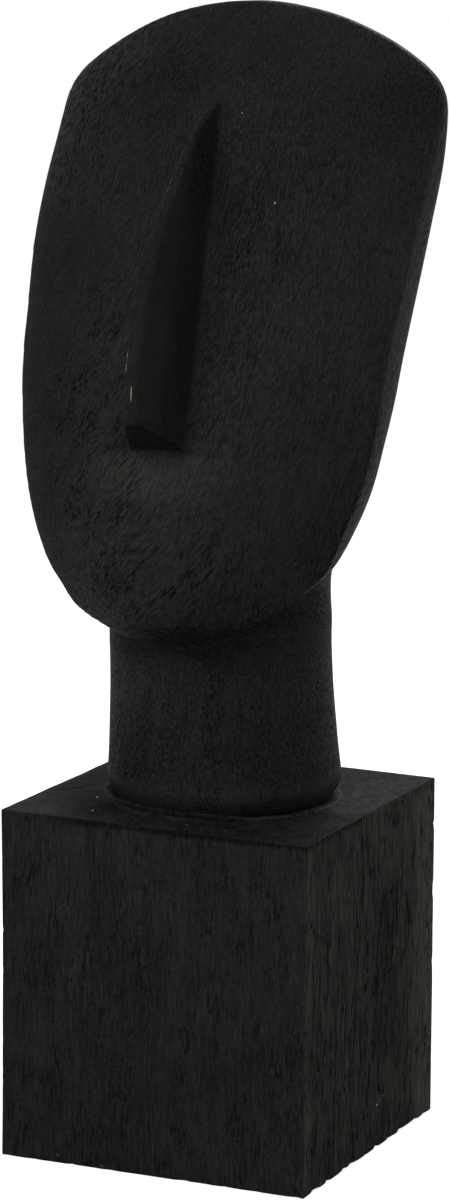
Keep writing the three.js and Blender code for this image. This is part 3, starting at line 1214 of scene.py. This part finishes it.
    def nose_share(self, places: np.ndarray) -> np.ndarray:
        """1 on the nose and 0 elsewhere."""
        above_nose = places[:, 2] - self.chin_height - self.nose_bottom
        return near(places[:, 0], 0, 14, 11) * eased(
            self.behind_face(places), -1, -3) * eased(above_nose, -8, 0)

    def nose_tone(self, places: np.ndarray, normals: np.ndarray) -> np.ndarray:
        """How much lighter the nose's paint is on each of its sides, as painted shade on its flanks
        and underside.

        Args:
            places: the head's points.
            normals: the ways that the surface faces there.

        Returns:
            The tone, 0 off the nose.
        """
        tones = self.tones
        above_nose = places[:, 2] - self.chin_height - self.nose_bottom
        forward = eased(self.behind_face(places), -14, -28) * eased(above_nose, 6, 20)
        # Painted shade on the nose's flanks and underside, lighter towards the front of the right
        # flank.
        tone = smoothstep(normals[:, 0], 0.3, 0.6) * (
            tones.right_flank_shade + tones.flank_front_light * forward)
        tone += tones.underside * smoothstep(normals[:, 2], -0.35, -0.6)
        tone += tones.left_flank_shade * smoothstep(normals[:, 0], -0.3, -0.6) * eased(above_nose, 40, 60)
        return self.nose_share(places) * tone

    def neck_tone(self, places: np.ndarray, normals: np.ndarray) -> np.ndarray:
        """How much lighter the paint of the neck and under the chin is, with painted shade in the
        crease under the chin and painted light at the neck's toe.

        Args:
            places: the head's points.
            normals: the ways that the surface faces there.

        Returns:
            The tone, 0 above the chin.
        """
        tones = self.tones
        x, y, z = places.T
        above = z - self.chin_height
        # Painted shade in the crease under the chin.
        crease_height = 2 * MM - 5 * MM * eased(x, 5, -25)
        crease_shade = eased(np.abs(above - crease_height), 13, 3) * smoothstep(
            normals[:, 2], 0.25, -0.2) * (1.0 - 0.55 * eased(x, 5, 30))
        foot = near(z, 180, 24, 6) * eased(x, 20, -40)
        under_face = eased(y, 4, -16) * (tones.crease_shade * crease_shade + tones.foot * foot)
        # Painted light at the neck's tucked toe.
        toe = tones.toe * (1.0 + eased(x, 0, 30)) * eased(z, 172, 162)
        return under_face + toe + tones.neck * eased(above, 0, -12)

    def face_tone(self, places: np.ndarray, normals: np.ndarray) -> np.ndarray:
        """How much lighter the paint of the face, its rim and the right wall is, as painted
        highlight, light and shade.

        Args:
            places: the head's points.
            normals: the ways that the surface faces there.

        Returns:
            The tone.
        """
        tones = self.tones
        x, _, z = places.T
        above = z - self.chin_height
        out = self.outline(places)
        # Painted highlight along the left rim, with a band of painted shade just inside it.
        rim = smoothstep(out, -0.90, -0.97) - 0.35 * smoothstep(np.abs(out + 0.78), 0.16, 0.06)
        # Painted highlight on the upper right wall and painted shade on its lower part by the jaw.
        wall = smoothstep(normals[:, 0], 0.55, 0.8) * eased(x, 20, 40) * eased(above, 20, 40)
        wall *= 0.35 - 0.70 * eased(above, 125, 75)
        # Painted light below the nose.
        light_below_nose = self.light_below_nose.share(x, above) * eased(above - self.nose_bottom, 0, -4)
        # Painted shade on the jaw.
        jaw_shade = eased(above, 1, 7) * self.jaw_shade.share(x, above)
        # Painted shade on the crown, with painted light towards the right at its top.
        crown = smoothstep(above / self.face_height, 0.6, 0.9)
        top = smoothstep(above / self.face_height, 0.84, 0.96)
        rightwards = np.clip(x / (80 * MM), -1.0, 1.0)
        crown_shade_and_light = tones.crown + 0.35 * top * rightwards + 0.15 * np.minimum(rightwards, 0.0)
        crown_shade_and_light += (1.0 - top) * np.where(rightwards < 0.0, 0.30, -0.10) * rightwards
        # The chin term is painted light on the chin.
        return (tones.rim * rim + wall + tones.light_below_nose * light_below_nose + tones.jaw_shade * jaw_shade
                + tones.chin * self.chin.share(x, above) + crown_shade_and_light * crown)

    def worn(self, places: np.ndarray, normals: np.ndarray) -> tuple[np.ndarray, ...]:
        """How the paint differs from place to place.

        Args:
            places: the head's points.
            normals: the ways that the surface faces there.

        Returns:
            How much lighter the paint is, with painted shade and light in it, how open its gouges
            are and how stippled it is.
        """
        x, _, z = places.T
        above = z - self.chin_height
        on_nose = self.nose_share(places)
        lighter = self.nose_tone(places, normals) + self.neck_tone(places, normals)
        lighter += self.face_tone(places, normals)
        front = smoothstep(normals[:, 1], -0.2, -0.5)
        gouged = 0.12 + front * (
            1.1 * self.cheek.share(x, above) + 1.0 * self.jowl.share(x, above)
            + 0.8 * self.lips.share(x, above) + 0.6 * self.beside_nose.share(x, above))
        wrinkled = 0.25 + 0.5 * near(x, 22, 30, 8)
        gouged = np.where(above < 0.0, wrinkled, gouged) * (1.0 - 0.85 * on_nose)
        stippled = smoothstep(above / self.face_height, 0.62, 0.8)
        stippled -= 0.6 * on_nose + 0.6 * eased(x, -28, -58) * eased(above, 0, 20)
        return lighter, np.clip(gouged, 0.0, 1.0), stippled

    def build(self, node: Piece) -> Piece:
        """Makes and paints the head.

        Args:
            node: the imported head.

        Returns:
            The finished head.
        """
        piece = self.blank(node)
        self.soften(piece)
        self.carve(piece)
        places, normals = Workbench.places(piece), Workbench.normals(piece)
        Workbench.mark(piece, "grain", *self.grain(places).T)
        # X is the lightness with the painted shade and light in it, Y the gouges and Z the stipple.
        Workbench.mark(piece, "wear_and_painted_light", *self.worn(places, normals))
        Workbench.cover(piece, self.finish.material())
        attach(piece, "root")
        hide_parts("head")
        LOG.info("head: %d faces", len(piece.data.polygons))
        return piece


@dataclass(frozen=True)
class SoftLight:
    """A square softbox that looks at the sculpture's middle."""

    name: str
    azimuth: float
    elevation: float
    power: float
    width: float = 0.9
    distance: float = 1.7

    def build(self, target: Vector) -> None:
        """Hangs the softbox.

        Args:
            target: the place that it looks at.
        """
        way = direction(self.azimuth, self.elevation)
        light = bpy.data.lights.new(self.name, "AREA")
        light.shape = "SQUARE"
        light.size = self.width
        light.energy = self.power
        lamp = bpy.data.objects.new(self.name, light)
        lamp.location = target + way * self.distance
        lamp.rotation_euler = way.to_track_quat("Z", "Y").to_euler()
        lamp.visible_camera = False
        bpy.context.scene.collection.objects.link(lamp)


@dataclass
class Studio:
    """The white sweep, its soft light and the camera."""

    floor_size: float = 8.0
    floor_clouds: Lengths = (0.4, 0.4, 0.4)
    floor_darkest: Colour = (0.52, 0.52, 0.52, 1.0)
    floor_lightest: Colour = (0.56, 0.56, 0.56, 1.0)
    seen_white: float = 1.0
    sky_light: float = 0.52
    floor_glow: float = 0.13
    floor_white: float = 0.75
    camera_azimuth: float = 24.629
    camera_elevation: float = 9.732
    camera_roll: float = 0.320
    camera_distance: float = 1.8125
    aim_right: float = 1.872 * MM
    aim_up: float = 238.47 * MM
    lens: float = 121.194
    sensor: float = 36.0
    lit_height: float = 0.27
    lights: tuple[SoftLight, ...] = (
        SoftLight("front_softbox", -10.0, 40.0, 12.5),
        SoftLight("left_softbox", -40.0, 5.0, 5.7),
        SoftLight("right_softbox", 110.0, 40.0, 4.5),
        SoftLight("rim_softbox", -118.0, 20.0, 2.2),
        SoftLight("back_softbox", 180.0, 40.0, 12.0),
    )

    @staticmethod
    def backlit(sheet: FinishSheet, lighting: float, seen: float) -> Socket:
        """The strength of a white that lights less strongly than it looks."""
        seen_directly = sheet.node("ShaderNodeLightPath").outputs["Is Camera Ray"]
        return sheet.band(seen_directly, 0.0, 1.0, lighting, seen)

    def floor(self) -> None:
        """Lays the pale floor."""
        Workbench.clear()
        bpy.ops.mesh.primitive_plane_add(size=self.floor_size)
        floor = bpy.context.object
        floor.name = "pale_floor"
        sheet = FinishSheet.named("pale_floor")
        clouds = sheet.noise(sheet.object_place(), self.floor_clouds)
        colour = sheet.blend(clouds, self.floor_darkest, self.floor_lightest)
        floor.data.materials.append(sheet.surface({
            "Base Color": colour, "Roughness": 0.9, "Specular IOR Level": 0.0,
            "Emission Color": WHITE,
            "Emission Strength": self.backlit(sheet, self.floor_glow, self.floor_white)}))

    def sky(self) -> None:
        """Surrounds the sculpture with even white light."""
        world = bpy.data.worlds.new("white_sweep")
        world.use_nodes = True
        sheet = FinishSheet(world.node_tree)
        background = sheet.made("ShaderNodeBackground", {
            "Color": WHITE, "Strength": self.backlit(sheet, self.sky_light, self.seen_white)})
        sheet.feed(sheet.node("ShaderNodeOutputWorld"), {"Surface": background})
        bpy.context.scene.world = world

    def camera(self) -> None:
        """Sets up the camera at the photograph's viewing angle."""
        azimuth, roll = math.radians(self.camera_azimuth), math.radians(self.camera_roll)
        back = direction(self.camera_azimuth, self.camera_elevation)
        level = Vector((math.cos(azimuth), math.sin(azimuth), 0.0))
        upright = back.cross(level)
        right = math.cos(roll) * level + math.sin(roll) * upright
        up = math.cos(roll) * upright - math.sin(roll) * level
        data = bpy.data.cameras.new("camera")
        data.sensor_fit = "VERTICAL"
        data.sensor_height = self.sensor
        data.lens = self.lens
        camera = bpy.data.objects.new("camera", data)
        turn = camera.matrix_world.to_3x3()
        turn.col[0], turn.col[1], turn.col[2] = right, up, back
        camera.matrix_world = turn.to_4x4()
        camera.location = back * self.camera_distance + right * self.aim_right + up * self.aim_up
        bpy.context.scene.collection.objects.link(camera)
        bpy.context.scene.camera = camera

    def build(self) -> None:
        """Sets up the studio."""
        bpy.context.scene.view_settings.view_transform = "Standard"
        self.sky()
        self.floor()
        self.camera()
        for light in self.lights:
            light.build(Vector((0.0, 0.0, self.lit_height)))
        LOG.info("studio: %d lights", len(self.lights))


def main() -> None:
    """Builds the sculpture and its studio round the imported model."""
    logging.basicConfig(level=logging.INFO, format="%(name)s: %(message)s")
    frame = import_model()
    Studio().build()
    Plinth().build()
    Head().build(frame["nodes"]["head"])


if __name__ == "__main__":
    main()
